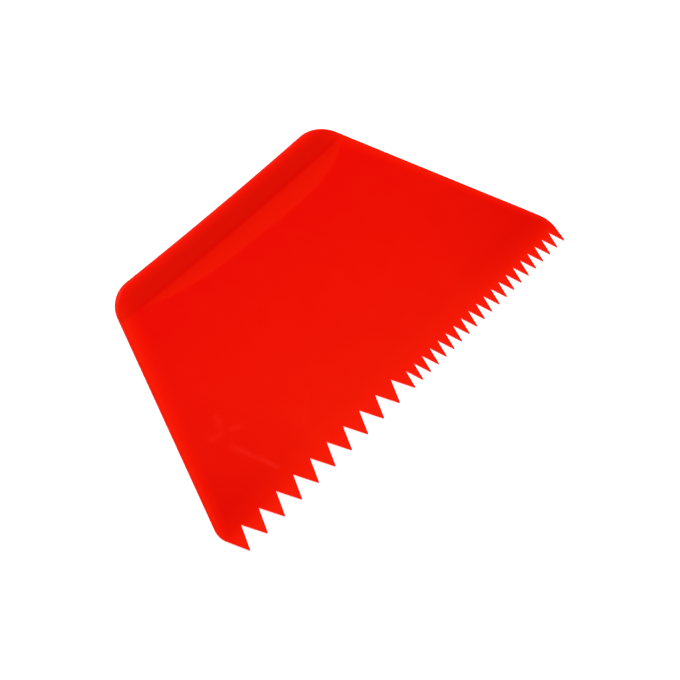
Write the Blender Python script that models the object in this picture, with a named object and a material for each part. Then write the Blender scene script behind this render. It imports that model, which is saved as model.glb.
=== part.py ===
"""A trapezoid cake comb, moulded in one piece.

The long edge carries coarse V teeth on its left half and fine V teeth on its right half. The short edge
is the grip: a raised lip runs along it, with a shallow thumb scoop in front of the lip.
The comb lies flat, face up, with the toothed edge towards -Y.
"""
import math

import bmesh
import bpy
from mathutils import Vector

MM = 0.001

# Tooth row, from the coarse end to the fine end
COARSE_NOTCHES = 10
COARSE_PITCH = 8.0 * MM
COARSE_DEPTH = 7.6 * MM
FINE_NOTCHES = 20
FINE_PITCH = 4.125 * MM
FINE_DEPTH = 6.1 * MM
TIP_LAND = 0.27 * MM
ROOT_RADIUS = 0.18 * MM

# Outline
BLADE_LENGTH = 91.1 * MM
GRIP_LENGTH = 101.9 * MM
GRIP_BOW = 0.65 * MM
GRIP_CORNER_RADIUS = 11.8 * MM
COARSE_MARGIN = 4.5 * MM
COARSE_CORNER_HEIGHT = 9.6 * MM
COARSE_CORNER_RADIUS = 6.5 * MM
FINE_MARGIN = 2.0 * MM
FINE_CORNER_HEIGHT = 8.8 * MM
FINE_CORNER_RADIUS = 12.0 * MM

# Thickness: thin at the tips, thicker towards the grip
TIP_THICKNESS = 0.4 * MM
TAPER_LENGTH = 18.0 * MM
BLADE_THICKNESS = 1.25 * MM
NECK_THICKNESS = 1.6 * MM

# Grip lip, set back from the grip edge
LIP_HEIGHT = 2.5 * MM
LIP_WIDTH = 10.2 * MM
LIP_CREST = 3.5 * MM
LIP_ROUND = 1.6 * MM
LIP_BLEND = 0.5 * MM
CREST_BLEND = 1.7 * MM
EDGE_ROUND = 0.3 * MM

# Thumb scoop in front of the lip
SCOOP_REACH = 7.4 * MM
SCOOP_SKEW = 0.28
SCOOP_HALF = 50.0 * MM
SCOOP_CENTRE = 4.0 * MM
SCOOP_DEPTH = 0.32 * MM
SCOOP_HOLLOW = 0.9

# Fineness of the faceted curves
CORNER_STEPS = 10
BOW_STEPS = 24
ROUND_STEPS = 5
EDGE_STEPS = 2
TAPER_STEPS = 5
FLOOR_STEPS = 3
BLEND_STEPS = 4
ROOT_STEPS = 3
STATIONS = 34

# How far a cutter reaches past what it cuts
OVERCUT = 3.0 * MM

# Colour of the moulding
RED = (0.78, 0.008, 0.002, 1.0)
ROUGHNESS = 0.38

coarse_row = COARSE_NOTCHES * COARSE_PITCH
fine_row = FINE_NOTCHES * FINE_PITCH
row_length = coarse_row + fine_row + TIP_LAND
corner_x = (COARSE_MARGIN + row_length + FINE_MARGIN) / 2
row_start = COARSE_MARGIN - corner_x
row_end = corner_x - FINE_MARGIN
grip_half = GRIP_LENGTH / 2
fine_corner = Vector((corner_x, FINE_CORNER_HEIGHT))
grip_right = Vector((grip_half, BLADE_LENGTH))
up_side = (COARSE_CORNER_HEIGHT - FINE_CORNER_HEIGHT) / (BLADE_LENGTH - FINE_CORNER_HEIGHT)
bow_radius = (grip_half ** 2 + GRIP_BOW ** 2) / (2 * GRIP_BOW)
bow_centre = Vector((0.0, BLADE_LENGTH + bow_radius))
neck_y = BLADE_LENGTH - LIP_WIDTH


def arc(centre, start, end, steps):
    """Points on the circle about centre, from start to end the short way round."""
    first = math.atan2(start.y - centre.y, start.x - centre.x)
    turn = math.atan2(end.y - centre.y, end.x - centre.x) - first
    turn = (turn + math.pi) % (2 * math.pi) - math.pi
    radius = (start - centre).length
    angles = [first + turn * i / steps for i in range(steps + 1)]
    return [centre + radius * Vector((math.cos(a), math.sin(a))) for a in angles]


def fillet(before, corner, after, radius):
    """A round of the given radius in the corner between two straight edges."""
    back = (before - corner).normalized()
    ahead = (after - corner).normalized()
    half_angle = back.angle(ahead) / 2
    longest = min((before - corner).length, (after - corner).length)
    run = min(radius / math.tan(half_angle), longest)
    to_centre = run / math.cos(half_angle)
    centre = corner + (back + ahead).normalized() * to_centre
    return arc(centre, corner + back * run, corner + ahead * run, CORNER_STEPS)


def mirrored(points):
    """The same points on the other side of the centre line, in reverse order."""
    return [Vector((-p.x, p.y)) for p in reversed(points)]


def grip_corner():
    """The round between the right side and the bowed grip edge."""
    along = (grip_right - fine_corner).normalized()
    inward = Vector((-along.y, along.x))
    offset = fine_corner + inward * GRIP_CORNER_RADIUS - bow_centre
    middle = -along.dot(offset)
    reach = bow_radius + GRIP_CORNER_RADIUS
    centre = bow_centre + offset + along * (middle - math.sqrt(middle ** 2 - offset.length_squared + reach ** 2))
    on_side = centre - inward * GRIP_CORNER_RADIUS
    on_bow = centre + (bow_centre - centre).normalized() * GRIP_CORNER_RADIUS
    return arc(centre, on_side, on_bow, CORNER_STEPS)


def plate_outline():
    """The plate's edge before the teeth are cut, from the last fine tip round to the last coarse tip."""
    fine_tip = Vector((row_end, 0.0))
    coarse_tip = Vector((row_start, 0.0))
    coarse_corner, grip_left = mirrored([grip_right, fine_corner.lerp(grip_right, up_side)])
    right = grip_corner()
    left = mirrored(right)
    grip_edge = arc(bow_centre, right[-1], left[0], BOW_STEPS)
    outline = [fine_tip]
    outline += fillet(fine_tip, fine_corner, grip_right, FINE_CORNER_RADIUS)
    outline += right
    outline += grip_edge[1:-1]
    outline += left
    outline += fillet(grip_left, coarse_corner, coarse_tip, COARSE_CORNER_RADIUS)
    outline.append(coarse_tip)
    return outline


def prism(bm, outline, bottom, height):
    """Extrudes a flat outline into a closed solid."""
    verts = [bm.verts.new((p.x, p.y, bottom)) for p in outline]
    base = bm.faces.new(verts)
    raised = bmesh.ops.extrude_face_region(bm, geom=[base])["geom"]
    top_verts = [g for g in raised if isinstance(g, bmesh.types.BMVert)]
    bmesh.ops.translate(bm, verts=top_verts, vec=(0.0, 0.0, height))


def finished(bm, name):
    """Makes an object of the mesh, with its faces pointing out."""
    bmesh.ops.recalc_face_normals(bm, faces=bm.faces)
    mesh = bpy.data.meshes.new(name)
    bm.to_mesh(mesh)
    bm.free()
    made = bpy.data.objects.new(name, mesh)
    bpy.context.collection.objects.link(made)
    return made


def make_plate():
    """The blank: the whole outline at lip height, its rims rounded except along the tooth row."""
    bm = bmesh.new()
    prism(bm, plate_outline(), 0.0, LIP_HEIGHT)
    bm.edges.ensure_lookup_table()

    def rim(height):
        level = [e for e in bm.edges if all(abs(v.co.z - height) < EDGE_ROUND / 10 for v in e.verts)]
        return [e for e in level if any(v.co.y > FINE_CORNER_HEIGHT / 10 for v in e.verts)]

    for height, radius, steps in ((LIP_HEIGHT, LIP_ROUND, ROUND_STEPS), (0.0, EDGE_ROUND, EDGE_STEPS)):
        bmesh.ops.bevel(
            bm, geom=rim(height), offset=radius, offset_type="OFFSET", segments=steps,
            profile=0.5, affect="EDGES", material=-1,
        )
    return finished(bm, "comb")


def bow_y(x, setback):
    """Height up the blade of the line that keeps this distance from the bowed grip edge."""
    return bow_centre.y - math.sqrt((bow_radius + setback) ** 2 - x ** 2)


def blade_z(y):
    """The blade's face: a slight wedge, thinned to the tips by an arc that leaves it smoothly."""
    rise = (NECK_THICKNESS - BLADE_THICKNESS) / (neck_y - TAPER_LENGTH)
    flat = BLADE_THICKNESS + rise * (y - TAPER_LENGTH)
    if y >= TAPER_LENGTH:
        return flat
    drop = BLADE_THICKNESS - rise * TAPER_LENGTH - TIP_THICKNESS
    return flat - drop * ((TAPER_LENGTH - y) / TAPER_LENGTH) ** 2


def scoop_reach(x):
    """How far the scoop comes forward of the lip: flat-bottomed, round-ended, deeper to the right."""
    s = (x - SCOOP_CENTRE) / SCOOP_HALF
    return max(0.0, SCOOP_REACH * (1 + SCOOP_SKEW * s) * (1 - s ** 4))


def eased(before, corner, after):
    """Points on the parabola that eases a corner, from one side of it to the other."""
    places = [i / BLEND_STEPS for i in range(BLEND_STEPS + 1)]
    return [before * (1 - t) ** 2 + corner * (2 * t * (1 - t)) + after * t ** 2 for t in places]


def face_section(x):
    """The upper face in a cut across the blade at x, as (y, z) from the tips to above the lip."""
    foot_y = bow_y(x, LIP_WIDTH)
    crest = Vector((bow_y(x, LIP_CREST), LIP_HEIGHT))
    reach = scoop_reach(x)
    depth = SCOOP_DEPTH * reach / SCOOP_REACH
    front = max(reach, 2 * LIP_BLEND)

    def floor(y):
        s = max(0.0, 1 - (foot_y - y) / front)
        return Vector((y, blade_z(y) - depth * ((1 + SCOOP_HOLLOW) * s - SCOOP_HOLLOW * s * s)))

    foot = floor(foot_y)
    slope = (crest - foot).normalized()
    over_crest = crest + Vector((CREST_BLEND, 0.0))
    taper = [TAPER_LENGTH * i / TAPER_STEPS for i in range(TAPER_STEPS + 1)]
    section = [Vector((-OVERCUT, TIP_THICKNESS))]
    section += [Vector((y, blade_z(y))) for y in taper]
    section += [floor(foot_y - front + (front - LIP_BLEND) * i / FLOOR_STEPS) for i in range(FLOOR_STEPS)]
    section += eased(floor(foot_y - LIP_BLEND), foot, foot + slope * LIP_BLEND)
    section += eased(crest - slope * CREST_BLEND, crest, over_crest)[:-1]
    section.append(section[-1] + (section[-1] - section[-2]).normalized() * 2 * OVERCUT)
    section.append(Vector((section[-1].x, LIP_HEIGHT + 2 * OVERCUT)))
    section.append(Vector((-OVERCUT, LIP_HEIGHT + 2 * OVERCUT)))
    return section


def make_face_cutter():
    """What the mould's upper half keeps clear: lofted across the comb through face sections."""
    bm = bmesh.new()
    reach = corner_x + OVERCUT
    inner = grip_half + GRIP_CORNER_RADIUS
    stations = [-reach] + [inner * (2 * i / STATIONS - 1) for i in range(STATIONS + 1)] + [reach]
    place = bm.verts.layers.int.new("place")
    face = bm.faces.new([bm.verts.new((stations[0], p.x, p.y)) for p in face_section(stations[0])])
    for i, vert in enumerate(face.verts):
        vert[place] = i
    for x in stations[1:]:
        raised = bmesh.ops.extrude_face_region(bm, geom=[face])["geom"]
        if x != stations[1]:
            bmesh.ops.delete(bm, geom=[face], context="FACES_ONLY")
        face = next(g for g in raised if isinstance(g, bmesh.types.BMFace))
        section = face_section(x)
        for vert in face.verts:
            vert.co = (x, *section[vert[place]])
    return finished(bm, "face_cutter")


def notch_outline(middle, pitch, depth):
    """A V between two tips, its flanks tangent to a small round root."""
    mouth = (pitch - TIP_LAND) / 2
    rise = depth - ROOT_RADIUS
    lean = math.atan2(mouth, rise) - math.asin(ROOT_RADIUS / math.hypot(mouth, rise))
    root = Vector((middle, rise))
    side = ROOT_RADIUS * Vector((math.cos(lean), math.sin(lean)))
    right = [Vector((middle + mouth, -OVERCUT)), Vector((middle + mouth, 0.0))]
    left = [Vector((middle - mouth, 0.0)), Vector((middle - mouth, -OVERCUT))]
    return right + arc(root, root + side, root + Vector((-side.x, side.y)), ROOT_STEPS) + left


def make_notch_cutter():
    """One prism for each notch, side by side along the tooth row."""
    bm = bmesh.new()
    first_tip = row_start + TIP_LAND / 2
    for count, pitch, depth, start in (
        (COARSE_NOTCHES, COARSE_PITCH, COARSE_DEPTH, first_tip),
        (FINE_NOTCHES, FINE_PITCH, FINE_DEPTH, first_tip + coarse_row),
    ):
        for i in range(count):
            outline = notch_outline(start + pitch * (i + 0.5), pitch, depth)
            prism(bm, outline, -OVERCUT, LIP_HEIGHT + 2 * OVERCUT)
    return finished(bm, "notch_cutter")


def cut(target, cutter):
    """Takes the cutter out of the target and keeps the cutter out of sight."""
    boolean = target.modifiers.new(cutter.name, "BOOLEAN")
    boolean.operation = "DIFFERENCE"
    boolean.solver = "EXACT"
    boolean.object = cutter
    cutter.hide_render = True
    cutter.display_type = "WIRE"


def red_plastic():
    material = bpy.data.materials.new("red_plastic")
    material.use_nodes = True
    shader = material.node_tree.nodes["Principled BSDF"]
    shader.inputs["Base Color"].default_value = RED
    shader.inputs["Roughness"].default_value = ROUGHNESS
    shader.inputs["Metallic"].default_value = 0.0
    material.diffuse_color = RED
    return material


for old in list(bpy.data.objects):
    bpy.data.objects.remove(old, do_unlink=True)

comb = make_plate()
comb.data.materials.append(red_plastic())
cut(comb, make_face_cutter())
cut(comb, make_notch_cutter())

# The origin is the middle of the comb's box, on the surface it lies on
edge = plate_outline()
middle_x = (min(p.x for p in edge) + max(p.x for p in edge)) / 2
middle_y = (min(p.y for p in edge) + max(p.y for p in edge)) / 2
for placed in list(bpy.data.objects):
    placed.location = (-middle_x, -middle_y, 0.0)
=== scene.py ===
# %% [markdown]
# # A cake comb
# The object is one plate of red plastic, moulded in one go. Its long edge has coarse V teeth on one half
# and fine V teeth on the other, for drawing ridges in icing. Its short edge is the grip: a raised lip runs
# along it, with a shallow scoop for the thumb in front of the lip.
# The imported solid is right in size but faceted, so this lesson draws the same plate again with fine curves,
# gives it its plastic, and lights it.

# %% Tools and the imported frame
import math

import bmesh
import bpy
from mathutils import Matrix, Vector


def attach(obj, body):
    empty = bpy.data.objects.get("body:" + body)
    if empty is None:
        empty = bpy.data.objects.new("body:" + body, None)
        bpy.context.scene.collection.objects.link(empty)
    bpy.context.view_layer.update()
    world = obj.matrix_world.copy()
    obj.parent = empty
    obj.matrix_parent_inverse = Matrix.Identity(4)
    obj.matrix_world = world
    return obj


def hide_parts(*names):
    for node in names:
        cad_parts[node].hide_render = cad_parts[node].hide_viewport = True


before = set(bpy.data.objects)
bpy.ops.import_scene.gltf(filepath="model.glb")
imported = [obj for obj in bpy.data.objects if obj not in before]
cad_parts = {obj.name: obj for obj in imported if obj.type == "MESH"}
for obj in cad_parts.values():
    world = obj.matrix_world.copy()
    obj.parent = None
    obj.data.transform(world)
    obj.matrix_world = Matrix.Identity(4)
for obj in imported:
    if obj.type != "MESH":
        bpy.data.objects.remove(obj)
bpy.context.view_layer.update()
MM = 0.001

# %% [markdown]
# ## The sizes
# Every length is written once, in millimetres. The coarse notches are 8 mm apart and the fine ones just
# over 4 mm. The plate thins to 0.4 mm at the tips, as a scraper has to, and is thickest at the lip. Drawing
# is easiest from the tooth row, so the plate is drawn with the tips on y = 0 and moved to its place in the
# frame afterwards.

# %% Sizes of the tooth row and the outline
COARSE_NOTCHES, COARSE_PITCH, COARSE_DEPTH = 10, 8.0, 7.6
FINE_NOTCHES, FINE_PITCH, FINE_DEPTH = 20, 4.125, 6.1
TIP_LAND, ROOT_RADIUS = 0.27, 0.18

BLADE_LENGTH, GRIP_LENGTH, GRIP_BOW = 91.1, 101.9, 0.65
GRIP_CORNER_RADIUS = 11.8
COARSE_MARGIN, COARSE_CORNER_HEIGHT, COARSE_CORNER_RADIUS = 4.5, 9.6, 6.5
FINE_MARGIN, FINE_CORNER_HEIGHT, FINE_CORNER_RADIUS = 2.0, 8.8, 12.0

coarse_row = COARSE_NOTCHES * COARSE_PITCH
fine_row = FINE_NOTCHES * FINE_PITCH
corner_x = (COARSE_MARGIN + coarse_row + fine_row + TIP_LAND + FINE_MARGIN) / 2
row_start = COARSE_MARGIN - corner_x
row_end = corner_x - FINE_MARGIN
grip_half = GRIP_LENGTH / 2
print("tooth row", round(row_end - row_start, 2), "mm, corners at", round(corner_x, 2), "mm")

# %% Sizes of the thickness, the lip and the scoop
TIP_THICKNESS, TAPER_LENGTH = 0.4, 18.0
BLADE_THICKNESS, NECK_THICKNESS = 1.25, 1.6
LIP_HEIGHT, LIP_WIDTH, LIP_CREST, LIP_ROUND = 2.5, 10.2, 3.5, 1.6
LIP_BLEND, CREST_BLEND, EDGE_ROUND = 0.5, 1.7, 0.3
SCOOP_REACH, SCOOP_SKEW, SCOOP_HALF, SCOOP_CENTRE = 7.4, 0.28, 50.0, 4.0
SCOOP_DEPTH, SCOOP_HOLLOW = 0.32, 0.9
print("lip stands", round(LIP_HEIGHT - NECK_THICKNESS, 2), "mm above the neck")

# %% [markdown]
# ## Drawing the edge with a pen
# A bmesh can draw as a pen does. One vertex is the pen's point: extruding it draws a straight line, and
# spinning it about a centre draws an arc of exactly the radius asked for. That keeps the big corner rounds,
# the slightly hollow grip edge and the small rounds at the notches' roots true circles.

# %% The pen
class Pen:
    """Draws lines and arcs in the plane, one after the other."""

    def __init__(self, start):
        self.bm = bmesh.new()
        self.first = self.vert = self.bm.verts.new((*start, 0.0))

    def line(self, point):
        made = bmesh.ops.extrude_vert_indiv(self.bm, verts=[self.vert])
        self.vert = made["verts"][0]
        self.vert.co = (*point, 0.0)

    def arc(self, centre, end, steps):
        start = self.vert.co.xy - centre
        turn = -start.angle_signed(end - centre)
        made = bmesh.ops.spin(
            self.bm, geom=[self.vert], cent=(*centre, 0.0), axis=(0.0, 0.0, 1.0), angle=turn, steps=steps,
        )
        self.vert = next(g for g in made["geom_last"] if isinstance(g, bmesh.types.BMVert))

    def close(self):
        self.bm.edges.new((self.vert, self.first))
        return bmesh.ops.contextual_create(self.bm, geom=self.bm.edges[:])["faces"][0]


# %% Where the rounds touch the straight edges
def fillet(before, corner, after, radius):
    """Centre, start and end of the round in the corner between two straight edges."""
    back = (before - corner).normalized()
    ahead = (after - corner).normalized()
    half_angle = back.angle(ahead) / 2
    run = radius / math.tan(half_angle)
    centre = corner + (back + ahead).normalized() * (run / math.cos(half_angle))
    return centre, corner + back * run, corner + ahead * run


def flip(point):
    return Vector((-point.x, point.y))


fine_tip, coarse_tip = Vector((row_end, 0.0)), Vector((row_start, 0.0))
fine_corner = Vector((corner_x, FINE_CORNER_HEIGHT))
grip_right = Vector((grip_half, BLADE_LENGTH))
up_side = (COARSE_CORNER_HEIGHT - FINE_CORNER_HEIGHT) / (BLADE_LENGTH - FINE_CORNER_HEIGHT)
coarse_corner = flip(fine_corner.lerp(grip_right, up_side))
bow_radius = (grip_half ** 2 + GRIP_BOW ** 2) / (2 * GRIP_BOW)
bow_centre = Vector((0.0, BLADE_LENGTH + bow_radius))


def grip_corner():
    """The same for the round between the right side and the hollow grip edge."""
    upwards = (grip_right - fine_corner).normalized()
    inward = Vector((-upwards.y, upwards.x))
    offset = fine_corner + inward * GRIP_CORNER_RADIUS - bow_centre
    middle = -upwards.dot(offset)
    reach = bow_radius + GRIP_CORNER_RADIUS
    run = middle - math.sqrt(middle ** 2 - offset.length_squared + reach ** 2)
    centre = bow_centre + offset + upwards * run
    towards_bow = (bow_centre - centre).normalized()
    return centre, centre - inward * GRIP_CORNER_RADIUS, centre + towards_bow * GRIP_CORNER_RADIUS


print("grip edge's radius", round(bow_radius), "mm")

# %% Draw the edge of the blank
CORNER_STEPS, BOW_STEPS = 28, 40

pen = Pen(fine_tip)
centre, start, end = fillet(fine_tip, fine_corner, grip_right, FINE_CORNER_RADIUS)
pen.line(start)
pen.arc(centre, end, CORNER_STEPS)
centre, start, end = grip_corner()
pen.line(start)
pen.arc(centre, end, CORNER_STEPS)
pen.arc(bow_centre, flip(end), BOW_STEPS)
pen.arc(flip(centre), flip(start), CORNER_STEPS)
centre, start, end = fillet(flip(grip_right), coarse_corner, coarse_tip, COARSE_CORNER_RADIUS)
pen.line(start)
pen.arc(centre, end, CORNER_STEPS)
pen.line(coarse_tip)
plan = pen.close()
bm = pen.bm
edge_x = [v.co.x for v in bm.verts]
edge_y = [v.co.y for v in bm.verts]
shift = Vector((-(min(edge_x) + max(edge_x)) / 2, -(min(edge_y) + max(edge_y)) / 2, 0.0))
print("the edge has", len(bm.verts), "points and moves by", shift)
print("plan area", round(plan.calc_area() / 100, 1), "cm2")

# %% [markdown]
# ## From the edge to a blank
# The mould's lower half gives a flat slab. Here the drawn face is extruded to the lip's height and its rims
# are bevelled: a big round on top, which only the lip is tall enough to show in full, and a small one below.
# The tooth edge stays sharp, because it scrapes.

# %% Extrude the blank and round its rims
RIM_STEPS, EDGE_STEPS = 14, 3
CLOSE = 1e-4

raised = bmesh.ops.extrude_face_region(bm, geom=[plan])["geom"]
upper = [g for g in raised if isinstance(g, bmesh.types.BMVert)]
bmesh.ops.translate(bm, verts=upper, vec=(0, 0, LIP_HEIGHT))
for height, radius, steps in ((LIP_HEIGHT, LIP_ROUND, RIM_STEPS), (0.0, EDGE_ROUND, EDGE_STEPS)):
    level = [e for e in bm.edges if all(abs(v.co.z - height) < CLOSE for v in e.verts)]
    rounded = [e for e in level if any(v.co.y > CLOSE for v in e.verts)]
    bmesh.ops.bevel(
        bm, geom=rounded, offset=radius, offset_type="OFFSET", segments=steps, profile=0.5,
        affect="EDGES", material=-1,
    )
print("blank:", len(bm.faces), "faces")

# %% [markdown]
# ## Cutting lines for the relief
# The upper face is one huge polygon, and a polygon can't bend. Planes slice it into strips where it has to
# curve: along the taper behind the teeth, and in a fine grid around the lip and the scoop. The flat middle
# of the blade needs none.

# %% Slice the blank where it bends
BELOW_ALL = -1.0


def slice_all(axis, places, above=BELOW_ALL):
    """Cuts the faces above one height of the drawing, across an axis at each of these places."""
    for at in places:
        faces = [f for f in bm.faces if f.calc_center_median().y > above]
        edges = {e for f in faces for e in f.edges}
        verts = {v for f in faces for v in f.verts}
        bmesh.ops.bisect_plane(
            bm, geom=[*faces, *edges, *verts], dist=1e-5, plane_co=[at * a for a in axis], plane_no=axis,
        )


GRIP_ZONE, GRIP_ROWS, ROW_STEP = 68.0, 65, 0.35
COLUMNS_ASIDE, COLUMN_STEP = 39, 1.5

slice_all((0, 1, 0), [float(i) for i in range(1, int(TAPER_LENGTH) + 1)])
slice_all((0, 1, 0), [GRIP_ZONE + ROW_STEP * i for i in range(GRIP_ROWS)])
slice_all((1, 0, 0), [COLUMN_STEP * i for i in range(-COLUMNS_ASIDE, COLUMNS_ASIDE + 1)], GRIP_ZONE)
print("sliced:", len(bm.faces), "faces")

# %% [markdown]
# ## The relief
# Three formulas give the height of the upper face. The blade is a slight wedge that a parabola thins to the
# tips. In front of the lip the scoop sinks into it, deepest at the lip's foot. From there the lip's face
# climbs straight to its crest. Short parabolas ease both corners, as a polished mould has them.

# %% Heights of the upper face
def bow_y(x, setback):
    """The line that keeps this distance from the hollow grip edge."""
    return bow_centre.y - math.sqrt((bow_radius + setback) ** 2 - x ** 2)


wedge = (NECK_THICKNESS - BLADE_THICKNESS) / (BLADE_LENGTH - LIP_WIDTH - TAPER_LENGTH)


def blade_z(y):
    flat = BLADE_THICKNESS + wedge * (y - TAPER_LENGTH)
    drop = BLADE_THICKNESS - wedge * TAPER_LENGTH - TIP_THICKNESS
    return flat - drop * max(0.0, 1 - y / TAPER_LENGTH) ** 2


def scoop_reach(x):
    s = (x - SCOOP_CENTRE) / SCOOP_HALF
    return max(0.0, SCOOP_REACH * (1 + SCOOP_SKEW * s) * (1 - s ** 4))


def ease(before, after, t, reach):
    """Height on the parabola between two slopes that meet at t = 0, where both are zero high."""
    if abs(t) >= reach:
        return before * t if t < 0 else after * t
    return (before + after) / 2 * t + (after - before) / 4 * (reach + t * t / reach)


def face_z(x, y):
    foot_y, crest_y = bow_y(x, LIP_WIDTH), bow_y(x, LIP_CREST)
    reach = scoop_reach(x)
    depth = SCOOP_DEPTH * reach / SCOOP_REACH
    front = max(reach, LIP_BLEND)
    foot_z = blade_z(foot_y) - depth
    lip_slope = (LIP_HEIGHT - foot_z) / (crest_y - foot_y)
    floor_slope = wedge - depth * (1 - SCOOP_HOLLOW) / front
    if y > (foot_y + crest_y) / 2:
        return LIP_HEIGHT + ease(lip_slope, 0.0, y - crest_y, CREST_BLEND)
    if y > foot_y - LIP_BLEND:
        return foot_z + ease(floor_slope, lip_slope, y - foot_y, LIP_BLEND)
    s = max(0.0, 1 - (foot_y - y) / front)
    return blade_z(y) - depth * ((1 + SCOOP_HOLLOW) * s - SCOOP_HOLLOW * s * s)


for y in (0, 8, 16, 40, 72, 76, 80, 84, 88):
    print("thickness at y", y, "is", round(face_z(0.0, y), 2), "mm")

# %% Press the relief into the blank
for vert in bm.verts:
    vert.co.z = min(vert.co.z, face_z(vert.co.x, vert.co.y))
bmesh.ops.recalc_face_normals(bm, faces=bm.faces)


def make_piece(bm, name):
    """Puts a millimetre drawing at its place in the frame, as an object in metres."""
    bmesh.ops.translate(bm, verts=bm.verts, vec=shift)
    bmesh.ops.scale(bm, verts=bm.verts, vec=(MM, MM, MM))
    mesh = bpy.data.meshes.new(name)
    bm.to_mesh(mesh)
    bm.free()
    piece = bpy.data.objects.new(name, mesh)
    bpy.context.collection.objects.link(piece)
    return piece


plate = make_piece(bm, "comb_plate")
print("plate in mm", [round(v / MM, 2) for v in plate.dimensions])

# %% [markdown]
# ## The teeth
# Each notch is a V with a small round at its root, where a sharp corner would crack. The pen draws one V
# prism for each notch, and a Boolean takes them all out of the plate at once.

# %% Cut the notches
ROOT_STEPS, OVERCUT = 6, 3.0
SHARP_ANGLE = math.radians(35)

notches = bmesh.new()
tip_x = row_start + TIP_LAND / 2
for count, pitch, depth in (
    (COARSE_NOTCHES, COARSE_PITCH, COARSE_DEPTH),
    (FINE_NOTCHES, FINE_PITCH, FINE_DEPTH),
):
    mouth = (pitch - TIP_LAND) / 2
    rise = depth - ROOT_RADIUS
    lean = math.atan2(mouth, rise) - math.asin(ROOT_RADIUS / math.hypot(mouth, rise))
    side = ROOT_RADIUS * Vector((math.cos(lean), math.sin(lean)))
    for _ in range(count):
        root = Vector((tip_x + pitch / 2, rise))
        pen = Pen(Vector((root.x + mouth, -OVERCUT)))
        pen.line(Vector((root.x + mouth, 0.0)))
        pen.line(root + side)
        pen.arc(root, root + flip(side), ROOT_STEPS)
        pen.line(Vector((root.x - mouth, 0.0)))
        pen.line(Vector((root.x - mouth, -OVERCUT)))
        face = pen.close()
        raised = bmesh.ops.extrude_face_region(pen.bm, geom=[face])["geom"]
        upper = [g for g in raised if isinstance(g, bmesh.types.BMVert)]
        bmesh.ops.translate(pen.bm, verts=upper, vec=(0, 0, LIP_HEIGHT + 2 * OVERCUT))
        bmesh.ops.translate(pen.bm, verts=pen.bm.verts, vec=(0, 0, -OVERCUT))
        one = bpy.data.meshes.new("notch")
        pen.bm.to_mesh(one)
        notches.from_mesh(one)
        bpy.data.meshes.remove(one)
        pen.bm.free()
        tip_x += pitch
bmesh.ops.recalc_face_normals(notches, faces=notches.faces)
cutter = make_piece(notches, "notches")

boolean = plate.modifiers.new("notches", "BOOLEAN")
boolean.operation = "DIFFERENCE"
boolean.solver = "EXACT"
boolean.object = cutter
evaluated = plate.evaluated_get(bpy.context.evaluated_depsgraph_get())
cut_mesh = bpy.data.meshes.new_from_object(evaluated)
plate.modifiers.remove(boolean)
plate.data = cut_mesh
bpy.data.objects.remove(cutter)
plate.data.shade_smooth()
plate.data.set_sharp_from_angle(angle=SHARP_ANGLE)
print("plate with its teeth:", len(plate.data.polygons), "faces")

# %% [markdown]
# ## How thin the plastic is
# Light soaks through thin plastic, so the real comb grows more orange from the grip down to the tips. The
# material can't measure thickness, so every vertex is told it here.

# %% Tell every vertex how thin the blade is there
thinness = plate.data.attributes.new("thinness", "FLOAT", "POINT")
for vert, kept in zip(plate.data.vertices, thinness.data):
    drawn = vert.co / MM - shift
    kept.value = max(0.0, 1 - blade_z(drawn.y) / NECK_THICKNESS)
told = [kept.value for kept in thinness.data]
print("thinness from", round(min(told), 2), "to", round(max(told), 2))

# %% [markdown]
# ## Shader maths in Python
# The comb is a bright red moulding with a satin face. Its colour changes from place to place by formulas,
# and formulas read better as Python than as a web of nodes. So a small class lets sockets be added and
# multiplied like numbers, and each sum adds its Math node by itself.

# %% Shader values as Python expressions
class Value:
    """A shader socket that takes part in sums."""

    def __init__(self, graph, socket):
        self.graph = graph
        self.socket = socket

    def __add__(self, other):
        return self.graph.math("ADD", self, other)

    def __sub__(self, other):
        return self.graph.math("SUBTRACT", self, other)

    def __rsub__(self, other):
        return self.graph.math("SUBTRACT", other, self)

    def __mul__(self, other):
        return self.graph.math("MULTIPLY", self, other)

    def __truediv__(self, other):
        return self.graph.math("DIVIDE", self, other)

    __radd__ = __add__
    __rmul__ = __mul__


class Graph:
    """The nodes of a material or a world, made one call at a time."""

    def __init__(self, block):
        self.block = block
        self.block.use_nodes = True
        self.tree = self.block.node_tree
        self.tree.nodes.clear()

    def node(self, kind, settings=None, inputs=None, output=0):
        made = self.tree.nodes.new(kind)
        for key, value in (settings or {}).items():
            setattr(made, key, value)
        for key, value in (inputs or {}).items():
            if isinstance(value, Value):
                self.tree.links.new(value.socket, made.inputs[key])
            else:
                made.inputs[key].default_value = value
        return Value(self, made.outputs[output]) if made.outputs else made

    def math(self, operation, a, b=0.0, clamp=False):
        return self.node("ShaderNodeMath", {"operation": operation, "use_clamp": clamp}, {0: a, 1: b})

    def mix(self, factor, a, b):
        return self.node("ShaderNodeMix", {"data_type": "RGBA"}, {0: factor, 6: a, 7: b}, output=2)

    def vector(self, operation, a, b, output=0):
        return self.node("ShaderNodeVectorMath", {"operation": operation}, {0: a, 1: b}, output)


# %% Where a point is in the drawing
red = Graph(bpy.data.materials.new("red_plastic"))
place = red.node("ShaderNodeTexCoord", output="Object")
drawing = red.vector("SUBTRACT", red.vector("MULTIPLY", place, (1 / MM, 1 / MM, 1 / MM)), tuple(shift))


def along(direction, origin):
    """How far a point lies from the origin in one direction, in millimetres."""
    return red.vector("DOT_PRODUCT", drawing, (*direction, 0.0), "Value") - origin.dot(direction)


def fade(value, start, end):
    """Nothing up to the start, one from the end on, and a straight line between them."""
    return red.math("DIVIDE", value - start, end - start, clamp=True)


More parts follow.
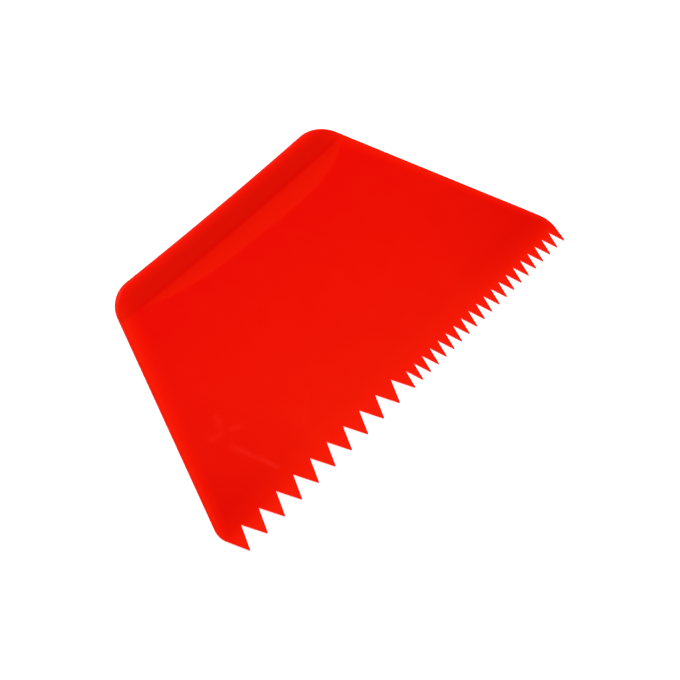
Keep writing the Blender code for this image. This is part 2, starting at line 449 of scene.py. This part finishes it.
across_x = along(Vector((1.0, 0.0)), Vector((0.0, 0.0)))
up_y = along(Vector((0.0, 1.0)), Vector((0.0, 0.0)))
print("nodes for a point's place:", len(red.tree.nodes))

# %% [markdown]
# ## Rims that glow
# Light also leaks in through the sides, and leaves a lighter line just inside the edge. A glow could come
# from real light inside the plastic, but that is slow and noisy in so thin a plate, so it is painted. Each
# straight edge gives a ramp that is one on the edge and falls to nothing a few millimetres in. The round
# corners are covered by one more tangent line each. The glow is wider on the left, and it widens from the
# teeth up to the grip, where the plate is thicker.

# %% A ramp inside each edge
def rim(start, end, width):
    run = (end - start).normalized()
    outward = Vector((run.y, -run.x))
    return red.math("ADD", along(outward, start) / width, 1.0, clamp=True)


def corner_rim(centre, outward, radius, width):
    return red.math("ADD", along(outward, centre + outward * radius) / width, 1.0, clamp=True)


LEFT_WIDTH, LEFT_GROWTH = 4.0, 0.045
RIGHT_WIDTH, RIGHT_GROWTH = 2.4, 0.04
GRIP_WIDTH, CORNER_WIDTH = 3.8, 3.0
left_width = up_y * LEFT_GROWTH + LEFT_WIDTH
right_width = up_y * RIGHT_GROWTH + RIGHT_WIDTH

grip_centre, grip_start, grip_end = grip_corner()
up_right = ((grip_start + grip_end) / 2 - grip_centre).normalized()
grip_y = BLADE_LENGTH + GRIP_BOW / 2
ramps = [
    rim(fine_corner, grip_right, right_width),
    rim(flip(grip_right), coarse_corner, left_width),
    rim(Vector((grip_half, grip_y)), Vector((-grip_half, grip_y)), GRIP_WIDTH),
    corner_rim(grip_centre, up_right, GRIP_CORNER_RADIUS, GRIP_WIDTH),
    corner_rim(flip(grip_centre), flip(up_right), GRIP_CORNER_RADIUS, GRIP_WIDTH),
]
for tip, corner, side_end, radius in (
    (fine_tip, fine_corner, grip_right, FINE_CORNER_RADIUS),
    (coarse_tip, coarse_corner, flip(grip_right), COARSE_CORNER_RADIUS),
):
    round_centre, start, end = fillet(tip, corner, side_end, radius)
    ramps.append(corner_rim(round_centre, (corner - round_centre).normalized(), radius, CORNER_WIDTH))
glow = ramps[0]
for ramp in ramps[1:]:
    glow = red.math("MAXIMUM", glow, ramp)
print("ramps inside the edge:", len(ramps))

# %% [markdown]
# ## Marks of use
# The coarse end of the blade has been used: a faint scratch starts in a scuff, three more scuffs lie above
# it, and a fainter scratch lies further along the teeth. Each is the set of points near a short line: the
# distance past its ends and the distance beside it make the two sides of a right triangle. The list below
# gives each mark's two ends, its half width and its strength. A cloudy noise wears them unevenly, because a
# clean line looks drawn.

# %% Scratches
def scratch(start, end, width):
    """One on a scratch, nothing a little way off it."""
    run = end - start
    direction = run.normalized()
    middle = (start + end) / 2
    past_end = red.math("MAXIMUM", red.math("ABSOLUTE", along(direction, middle)) - run.length / 2, 0.0)
    beside = along(Vector((-direction.y, direction.x)), middle)
    away = red.math("SQRT", past_end * past_end + beside * beside)
    return fade(away, width, 0.0)


MARKS = (
    ((-58.2, 24.1), (-54.0, 12.6), 1.3, 0.46),
    ((-59.5, 27.1), (-58.7, 25.5), 2.0, 0.24),
    ((-62.4, 33.7), (-59.0, 32.8), 1.8, 0.26),
    ((-55.2, 31.6), (-52.1, 30.2), 1.5, 0.3),
    ((-55.8, 37.6), (-57.2, 35.2), 1.8, 0.28),
    ((-38.0, 16.4), (-27.6, 23.9), 0.8, 0.12),
)
marks = sum(scratch(Vector(start), Vector(end), width) * strength for start, end, width, strength in MARKS)
cloudy = red.node("ShaderNodeTexNoise", inputs={"Vector": place, "Scale": 420.0, "Detail": 3.0})
normal = red.node("ShaderNodeTexCoord", output="Normal")
facing_up = red.vector("DOT_PRODUCT", normal, (0.0, 0.0, 1.0), "Value")
marks = marks * fade(cloudy, 0.0, 0.6) * fade(facing_up, 0.0, 0.5)
print("marks:", len(MARKS), "and nodes so far:", len(red.tree.nodes))

# %% [markdown]
# ## Where the red changes, and where sheen and shade are painted
# The scoop gets a painted sheen, a little more orange than the blade, right up to its round front edge, so
# the material works out that edge from the same sizes as the shape. The crease at the lip's foot and the
# blade's lower corners get painted shade, a little deeper in colour than the blade's middle, and the lip
# grows lighter towards the right. Each place is a mask: one inside, nothing outside, and a fade between them.
# mask: one inside, nothing outside, and a fade between them.

# %% The scoop's painted sheen, the lip, and painted shade near the lower corners and in the crease
foot_line = across_x * across_x / (2 * bow_radius) + (BLADE_LENGTH - LIP_WIDTH)
s = (across_x - SCOOP_CENTRE) / SCOOP_HALF
front_line = foot_line - (s * SCOOP_SKEW + 1.0) * (1.0 - s * s * s * s) * SCOOP_REACH
before_foot = fade(up_y - foot_line, 0.0, -0.4)
# The scoop's mask carries a painted sheen.
scoop_sheen = fade(up_y - front_line, 0.0, 0.5) * before_foot
# Painted shade in the crease at the lip's foot.
crease_shade = fade(up_y - foot_line, -3.0, 0.0) * before_foot
on_lip = fade(up_y - foot_line, 0.0, 2.0)
on_round = fade(up_y - foot_line, LIP_WIDTH - LIP_ROUND, LIP_WIDTH - LIP_ROUND / 2)
# These two masks place painted shade at the blade's lower corners.
outwards = fade(red.math("ABSOLUTE", across_x), 37.0, 75.0)
low_down = fade(up_y, 58.0, 13.0)
rightwards = fade(across_x, -20.0, 60.0)
print("nodes with the masks:", len(red.tree.nodes))

# %% [markdown]
# ## The red itself
# Each named colour is the red of one place, or painted light or shade laid on it. They are laid over each
# other, the widest first: the thick blade, its painted light towards the teeth, where light soaks through
# thin plastic, the scoop's painted sheen, the lip, painted shade in the lower corners and the crease, the
# teeth, the glow inside the edge, painted shade on the edge itself, painted shade on the lip's round, and the
# scratches last. The face is satin, with a roughness that wanders a little and a grain too fine to see. The
# last thing is the walls. Light that has soaked into the plastic leaves it again at the walls of the notches,
# which would otherwise be dark where they face away from the lamp, so they give off a little red.

# %% The reds by name
THICK_RED = (0.806, 0.0026, 0.0, 1.0)
THIN_RED = (0.94, 0.0180, 0.0030, 1.0)
# The scoop's red is a painted sheen.
SCOOP_SHEEN_RED = (0.797, 0.0058, 0.0, 1.0)
LIP_RED = (0.806, 0.0051, 0.0006, 1.0)
LIP_END_RED = (0.836, 0.0047, 0.0006, 1.0)
TOOTH_RED = (0.95, 0.0075, 0.0006, 1.0)
TIP_RED = (0.965, 0.0129, 0.0018, 1.0)
# A painted shade, used in the lower corners, in the crease and on the edge itself.
PAINTED_SHADE_RED = (0.755, 0.0030, 0.0, 1.0)
WARM_RED = (0.925, 0.0056, 0.0, 1.0)
GLOW_RED = (0.925, 0.0160, 0.0012, 1.0)
# The lip's round gets this painted shade, which tones down the light it catches.
ROUND_SHADE_RED = (0.665, 0.0090, 0.0006, 1.0)
WALL_RED = (0.50, 0.0060, 0.0010, 1.0)
SCRATCH_RED = (0.93, 0.02, 0.011, 1.0)
DARK = (0.0, 0.0, 0.0, 1.0)

# %% Lay the reds over each other
TINT, TINT_FALL, MOTTLING = 1.5, 0.7, 0.12
TOOTH_START, TOOTH_END, TIP_START, TIP_END = 0.25, 0.58, 0.4, 0.6
CREASE_SHADE_SHARE, EDGE_SHADE_START, EDGE_SHADE_SHARE, GLOW_POWER = 0.5, 0.84, 0.64, 4.0

thin = red.node("ShaderNodeAttribute", {"attribute_name": "thinness"}, output="Fac")
mottle = red.node("ShaderNodeTexNoise", inputs={"Vector": place, "Scale": 140.0, "Detail": 4.0}) - 0.5
tint = red.math("ADD", thin * (TINT - rightwards * TINT_FALL), mottle * MOTTLING, clamp=True)
colour = red.mix(tint, THICK_RED, THIN_RED)
# Painted sheen in the scoop.
colour = red.mix(scoop_sheen, colour, SCOOP_SHEEN_RED)
colour = red.mix(on_lip, colour, red.mix(rightwards, LIP_RED, LIP_END_RED))
# Painted shade in the lower corners and in the crease.
painted_shade = red.math("ADD", outwards * low_down, crease_shade * CREASE_SHADE_SHARE, clamp=True)
colour = red.mix(painted_shade, colour, PAINTED_SHADE_RED)
colour = red.mix(fade(thin, TOOTH_START, TOOTH_END), colour, TOOTH_RED)
colour = red.mix(fade(thin, TIP_START, TIP_END), colour, TIP_RED)
colour = red.mix(glow, colour, WARM_RED)
colour = red.mix(red.math("POWER", glow, GLOW_POWER), colour, GLOW_RED)
# Painted shade on the outermost part of the edge, where the glow ends.
colour = red.mix(fade(glow, EDGE_SHADE_START, 1.0) * EDGE_SHADE_SHARE, colour, PAINTED_SHADE_RED)
# Painted shade on the lip's round.
colour = red.mix(on_round, colour, ROUND_SHADE_RED)
colour = red.mix(marks, colour, SCRATCH_RED)
print("nodes with the colour:", len(red.tree.nodes))

# %% The satin face and the glowing walls
ROUGHNESS, ROUGHNESS_SWING, SHINE, WALL_SLOPE = 0.4, 0.2, 0.02, 0.4

grain = red.node("ShaderNodeTexNoise", inputs={"Vector": place, "Scale": 2500.0, "Detail": 2.0})
bump = red.node("ShaderNodeBump", inputs={"Strength": 0.05, "Distance": 0.0001, "Height": grain})
on_wall = fade(red.math("ABSOLUTE", facing_up), WALL_SLOPE, 0.0)
plastic = red.node("ShaderNodeBsdfPrincipled", inputs={
    "Base Color": colour,
    "Roughness": mottle * ROUGHNESS_SWING + ROUGHNESS,
    "Specular IOR Level": SHINE,
    "Normal": bump,
    "Emission Color": red.mix(on_wall, DARK, WALL_RED),
    "Emission Strength": 1.0,
})
red.node("ShaderNodeOutputMaterial", inputs={"Surface": plastic})
plate.data.materials.clear()
plate.data.materials.append(red.block)
print("nodes in", red.block.name, len(red.tree.nodes))

# %% [markdown]
# ## The floor and the room
# The comb lies on plain white. Turning the lamps up until a grey floor clips would burn out the red as well.
# Light Path tells the floor and the room which rays look at them: to the camera and to reflections they are
# white, while the light that they send onto the comb stays soft. The floor still takes the comb's shadow.

# %% The floor's white
WHITE, FLOOR_PAINT = (1.0, 1.0, 1.0, 1.0), (0.8, 0.8, 0.8, 1.0)
FLOOR_LIFT = 0.65


def looked_at(graph):
    """One where the camera, a reflection or a clear piece looks at it, nothing where light only bounces."""
    rays = [graph.node("ShaderNodeLightPath", output=kind) for kind in (
        "Is Camera Ray", "Is Glossy Ray", "Is Transmission Ray",
    )]
    return graph.math("MAXIMUM", graph.math("MAXIMUM", rays[0], rays[1]), rays[2])


floor_graph = Graph(bpy.data.materials.new("floor_white"))
paint = floor_graph.node("ShaderNodeBsdfDiffuse", inputs={"Color": FLOOR_PAINT})
lift_strength = looked_at(floor_graph) * FLOOR_LIFT
lift = floor_graph.node("ShaderNodeEmission", inputs={"Color": WHITE, "Strength": lift_strength})
both = floor_graph.node("ShaderNodeAddShader", inputs={0: paint, 1: lift})
floor_graph.node("ShaderNodeOutputMaterial", inputs={"Surface": both})
print("nodes in", floor_graph.block.name, len(floor_graph.tree.nodes))

# %% The floor
FLOOR_HALF, FLOOR_GAP = 6.0, 0.0001

floor_bm = bmesh.new()
bmesh.ops.create_grid(floor_bm, x_segments=1, y_segments=1, size=FLOOR_HALF)
floor_mesh = bpy.data.meshes.new("floor")
floor_bm.to_mesh(floor_mesh)
floor_bm.free()
floor = bpy.data.objects.new("floor", floor_mesh)
bpy.context.collection.objects.link(floor)
floor.data.materials.append(floor_graph.block)
floor.location.z = -FLOOR_GAP
print("floor", 2 * FLOOR_HALF, "m wide")

# %% The room
ROOM_LIGHT = 0.3

room = Graph(bpy.data.worlds.new("studio"))
room_strength = looked_at(room) * (1.0 - ROOM_LIGHT) + ROOM_LIGHT
air = room.node("ShaderNodeBackground", inputs={"Color": WHITE, "Strength": room_strength})
room.node("ShaderNodeOutputWorld", inputs={"Surface": air})
bpy.context.scene.world = room.block
print("nodes in", room.block.name, len(room.tree.nodes))

# %% [markdown]
# ## The lamp and the camera
# One big soft lamp stands behind the grip. The lip's face leans away from it and is a little darker than the
# blade, its rounded rim catches it and is lighter, and the scoop, which is bent the other way, just shows.
# The camera looks down over the coarse end with a long lens, which keeps the far teeth nearly as large as
# the near ones.

# %% The lamp
KEY_PLACE = Vector((0.0, 0.74, 0.67)).normalized() * 6.0
KEY_SIZE, KEY_WATTS = 3.4, 422.0

key = bpy.data.lights.new("key", "AREA")
key.shape = "DISK"
key.size = KEY_SIZE
key.energy = KEY_WATTS
key_holder = bpy.data.objects.new("key", key)
bpy.context.collection.objects.link(key_holder)
key_holder.location = KEY_PLACE
key_holder.rotation_euler = KEY_PLACE.to_track_quat("Z", "Y").to_euler()
print("lamp at", [round(v, 2) for v in KEY_PLACE], "m")

# %% The camera
CAMERA_PLACE = Vector((-0.23827, -0.10864, 0.46954))
CAMERA_TURN = (26.155, -10.488, -48.131)

camera = bpy.data.cameras.new("camera")
camera.lens = 85.0
camera.sensor_width = 36.0
camera.clip_start = 0.01
viewer = bpy.data.objects.new("camera", camera)
bpy.context.collection.objects.link(viewer)
viewer.location = CAMERA_PLACE
viewer.rotation_euler = [math.radians(angle) for angle in CAMERA_TURN]
bpy.context.scene.camera = viewer
bpy.context.scene.view_settings.view_transform = "Standard"
print("camera", round(CAMERA_PLACE.length, 2), "m from the comb")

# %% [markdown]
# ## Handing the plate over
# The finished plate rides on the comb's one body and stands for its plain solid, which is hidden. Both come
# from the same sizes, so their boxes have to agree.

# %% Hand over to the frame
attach(plate, "root")
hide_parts("comb")
